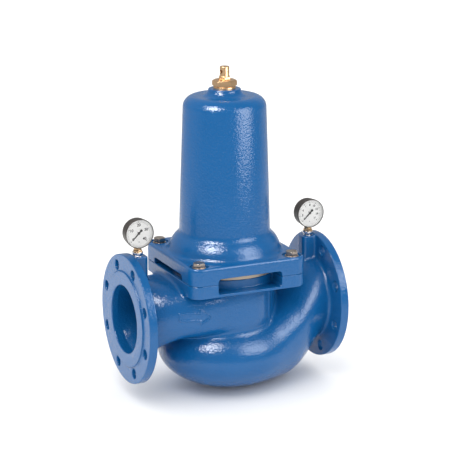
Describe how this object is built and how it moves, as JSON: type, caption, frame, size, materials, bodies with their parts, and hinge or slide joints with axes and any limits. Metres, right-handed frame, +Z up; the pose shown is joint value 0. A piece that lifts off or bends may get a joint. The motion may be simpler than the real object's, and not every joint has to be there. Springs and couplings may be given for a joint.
{
  "type": "pressure reducing valve",
  "caption": "Flanged spring-loaded pressure reducing valve with tall spring bonnet, square bonnet joint, brass adjusting spindle and a pressure gauge on each side.",
  "frame": {"origin": "centre of the inlet flange sealing face, on the pipe axis", "axes": "+X along the pipe axis in the direction of flow, +Z up along the adjusting spindle, gauge dials face -Y"},
  "size_m": [0.48, 0.2998, 0.7152],
  "materials": {
    "blue_paint": "gloss epoxy powder coat over cast iron",
    "brass": "machined, satin to polished",
    "bronze": "machined bearing bronze",
    "passivated_steel": "zinc plated and passivated",
    "spring_steel": "phosphated spring steel, satin black",
    "rubber": "moulded, matt",
    "gauge_case": "dark grey enamel, satin",
    "chrome": "polished",
    "glass": "clear",
    "dial_white": "matt white enamel",
    "pointer_black": "matt black",
    "stainless": "turned",
    "plain_steel": "machined, oiled"
  },
  "bodies": {
    "housing": {"adjusting_spring": "spring_steel", "bonnet_bolts": "passivated_steel", "bonnet_washers": "passivated_steel", "diaphragm": "rubber", "guide_plate": "brass", "guide_plate_gasket": "rubber", "inlet_gauge_adapter": "chrome", "inlet_gauge_bezel": "gauge_case", "inlet_gauge_bourdon_tube": "brass", "inlet_gauge_case": "gauge_case", "inlet_gauge_dial": "dial_white", "inlet_gauge_dial_screws": "stainless", "inlet_gauge_lens": "glass", "inlet_gauge_movement_frame": "brass", "inlet_gauge_socket": "brass", "inlet_gauge_washer": "rubber", "outlet_gauge_adapter": "chrome", "outlet_gauge_bezel": "gauge_case", "outlet_gauge_bourdon_tube": "brass", "outlet_gauge_case": "gauge_case", "outlet_gauge_dial": "dial_white", "outlet_gauge_dial_screws": "stainless", "outlet_gauge_lens": "glass", "outlet_gauge_movement_frame": "brass", "outlet_gauge_socket": "brass", "outlet_gauge_washer": "rubber", "seat_ring": "brass", "seat_ring_oring": "rubber", "spindle_bush": "brass", "spindle_oring": "rubber", "spring_bonnet": "blue_paint", "thrust_washer": "bronze", "valve_body": "blue_paint"},
    "spindle": {"adjusting_spindle": "brass", "thrust_collar": "stainless", "collar_pin": "stainless"},
    "spring_plate": {"upper_spring_plate": "plain_steel"},
    "stem": {"valve_stem": "stainless", "stem_bottom_nut": "stainless", "valve_disc": "stainless", "disc_seal": "rubber", "disc_retainer": "stainless", "lower_spacer": "stainless", "balance_piston": "stainless", "piston_oring": "rubber", "upper_spacer": "stainless", "diaphragm_lower_plate": "plain_steel", "lower_spring_plate": "plain_steel", "stem_top_washer": "stainless", "stem_top_nut": "stainless"},
    "inlet_gauge_hand": {"inlet_gauge_pointer": "pointer_black", "inlet_gauge_pinion": "brass"},
    "inlet_gauge_quadrant": {"inlet_gauge_sector": "brass"},
    "inlet_gauge_pull": {"inlet_gauge_link": "brass"},
    "outlet_gauge_hand": {"outlet_gauge_pointer": "pointer_black", "outlet_gauge_pinion": "brass"},
    "outlet_gauge_quadrant": {"outlet_gauge_sector": "brass"},
    "outlet_gauge_pull": {"outlet_gauge_link": "brass"}
  },
  "joints": [
    {"name": "spindle_turn", "type": "hinge", "parent": "housing", "child": "spindle", "pos_m": [0.24, 0, 0.52], "axis": [0, 0, -1], "range_deg": [0, 5400]},
    {"name": "spring_plate_travel", "type": "slide", "parent": "housing", "child": "spring_plate", "axis": [0, 0, -1], "range_m": [0, 0.06], "deforming": ["adjusting_spring"]},
    {"name": "valve_stroke", "type": "slide", "parent": "housing", "child": "stem", "axis": [0, 0, 1], "range_m": [0, 0.025], "deforming": ["diaphragm"]},
    {"name": "inlet_gauge_sector_turn", "type": "hinge", "parent": "housing", "child": "inlet_gauge_quadrant", "pos_m": [0.04303, 0, 0.1786], "axis": [0, -1, 0], "range_deg": [0, 33.75]},
    {"name": "inlet_gauge_pointer_turn", "type": "hinge", "parent": "housing", "child": "inlet_gauge_hand", "pos_m": [0.034, 0, 0.1915], "axis": [0, 1, 0], "range_deg": [0, 270]},
    {"name": "inlet_gauge_link_swing", "type": "hinge", "parent": "inlet_gauge_quadrant", "child": "inlet_gauge_pull", "pos_m": [0.04489, -0.0028, 0.17289], "axis": [0, -1, 0], "range_deg": [-33.75, 0]},
    {"name": "outlet_gauge_sector_turn", "type": "hinge", "parent": "housing", "child": "outlet_gauge_quadrant", "pos_m": [0.45503, 0, 0.1786], "axis": [0, -1, 0], "range_deg": [0, 33.75]},
    {"name": "outlet_gauge_pointer_turn", "type": "hinge", "parent": "housing", "child": "outlet_gauge_hand", "pos_m": [0.446, 0, 0.1915], "axis": [0, 1, 0], "range_deg": [0, 270]},
    {"name": "outlet_gauge_link_swing", "type": "hinge", "parent": "outlet_gauge_quadrant", "child": "outlet_gauge_pull", "pos_m": [0.45689, -0.0028, 0.17289], "axis": [0, -1, 0], "range_deg": [-33.75, 0]}
  ],
  "couplings": [
    {"joint": "spindle_turn", "follows": "spring_plate_travel", "rad_per_m": 1570.8},
    {"joint": "inlet_gauge_pointer_turn", "follows": "inlet_gauge_sector_turn", "ratio": 8},
    {"joint": "inlet_gauge_link_swing", "follows": "inlet_gauge_sector_turn", "ratio": -1},
    {"joint": "outlet_gauge_pointer_turn", "follows": "outlet_gauge_sector_turn", "ratio": 8},
    {"joint": "outlet_gauge_link_swing", "follows": "outlet_gauge_sector_turn", "ratio": -1}
  ]
}
